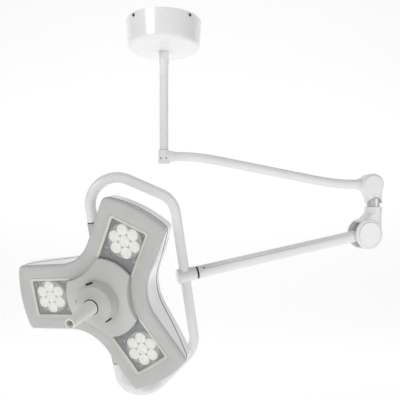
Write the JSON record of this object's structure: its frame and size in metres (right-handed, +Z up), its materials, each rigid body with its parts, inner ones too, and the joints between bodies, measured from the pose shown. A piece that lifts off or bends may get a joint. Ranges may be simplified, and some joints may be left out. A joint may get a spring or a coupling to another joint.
{
  "type": "surgical light",
  "caption": "Ceiling-mounted surgical light: canopy, down tube, extension arm, sprung arm, yoke and a three-lobed LED head with a removable grip.",
  "frame": {"origin": "middle of the ceiling plate's top face, where it meets the ceiling", "axes": "+Z up to the ceiling, +X along the extension arm as stored, +Y to the side"},
  "size_m": [1.0844, 0.5259, 1.1183],
  "materials": {
    "white_paint": "satin",
    "white_plastic": "gloss",
    "grey_plastic": "matte",
    "pale_grey_plastic": "satin",
    "steel": "brushed",
    "aluminium": "satin",
    "zinc_casting": "satin",
    "bronze_bush": "satin",
    "black_rubber": "matte",
    "dark_steel": "satin",
    "dark_plastic": "matte",
    "lamp_plate": "satin",
    "lens": "gloss",
    "clear_window": "gloss",
    "clear_bezel": "gloss",
    "board": "matte",
    "spring_steel": "satin"
  },
  "bodies": {
    "ceiling": {"ceiling_plate": "steel", "tube_socket": "zinc_casting", "socket_screws": "dark_steel", "clamp_bolt": "dark_steel", "down_tube": "white_paint", "tube_sleeve": "white_paint", "canopy_cover": "white_plastic", "canopy_screws": "dark_steel", "power_supply": "aluminium", "terminal_block": "dark_plastic", "hub_spindle": "steel", "spindle_retainer": "dark_steel"},
    "extension": {"extension_hub": "white_paint", "hub_bushes": "bronze_bush", "hub_cap": "white_plastic", "brake_screws": "dark_steel", "extension_tube": "white_paint", "upper_elbow_housing": "white_paint", "upper_elbow_caps": "white_plastic", "elbow_bushes": "bronze_bush"},
    "elbow": {"elbow_spindle": "steel", "spindle_nut": "dark_steel", "lower_elbow_housing": "white_paint", "lower_elbow_caps": "white_plastic", "tilt_pin": "steel", "tilt_washers": "bronze_bush"},
    "spring_arm": {"arm_root": "zinc_casting", "root_bush": "bronze_bush", "spring_tube": "white_paint", "counterbalance_spring": "spring_steel", "tension_rod": "steel", "spring_seats": "zinc_casting", "front_plug": "zinc_casting", "arm_set_screw": "dark_steel", "swivel_seal": "black_rubber"},
    "yoke": {"yoke_hub": "white_paint", "roll_spindle": "steel", "hub_end_cap": "white_plastic", "yoke_tube": "white_paint", "trunnion_pins": "steel", "friction_washers": "black_rubber"},
    "head": {"head_chassis": "aluminium", "trunnion_blocks": "zinc_casting", "front_shell": "grey_plastic", "side_shell": "white_plastic", "seam_gasket": "black_rubber", "rear_cover": "white_plastic", "rear_screws": "dark_steel", "heat_sinks": "aluminium", "led_plates": "lamp_plate", "lens_clusters": "lens", "window_panes": "clear_window", "window_bezels": "clear_bezel", "centre_cover": "pale_grey_plastic", "control_boss": "grey_plastic", "driver_board": "board", "grip_spindle": "steel"},
    "power_button": {"power_button": "dark_plastic"},
    "dimmer_button": {"dimmer_button": "dark_plastic"},
    "grip": {"grip": "white_plastic"}
  },
  "joints": [
    {"name": "extension_swivel", "type": "hinge", "parent": "ceiling", "child": "extension", "pos_m": [0, 0, -0.429], "axis": [0, 0, 1], "range_deg": [-170, 170]},
    {"name": "elbow_swivel", "type": "hinge", "parent": "extension", "child": "elbow", "pos_m": [0.6675, 0, -0.518], "axis": [0, 0, 1], "range_deg": [-6, 294]},
    {"name": "arm_lift", "type": "hinge", "parent": "elbow", "child": "spring_arm", "pos_m": [0.6377, -0.00855, -0.675], "axis": [-0.2756, 0.9613, 0], "range_deg": [-35, 30]},
    {"name": "yoke_roll", "type": "hinge", "parent": "spring_arm", "child": "yoke", "pos_m": [0.07272, -0.17055, -0.77969], "axis": [-0.9464, -0.2714, -0.1754], "range_deg": [-160, 160]},
    {"name": "head_tilt", "type": "hinge", "parent": "yoke", "child": "head", "pos_m": [-0.13737, -0.23079, -0.81863], "axis": [-0.1348, -0.1618, 0.9776], "range_deg": [-100, 8]},
    {"name": "grip_twist", "type": "hinge", "parent": "head", "child": "grip", "pos_m": [-0.15671, -0.31644, -0.83547], "axis": [-0.3072, -0.9311, -0.1965], "range_deg": [0, 40]},
    {"name": "power_press", "type": "slide", "parent": "head", "child": "power_button", "axis": [0.3587, 0.078, -0.9302], "range_m": [0, 0.0015], "stiffness_N_per_m": 400},
    {"name": "dimmer_press", "type": "slide", "parent": "head", "child": "dimmer_button", "axis": [-0.5612, 0.0105, 0.8276], "range_m": [0, 0.0015], "stiffness_N_per_m": 400}
  ]
}
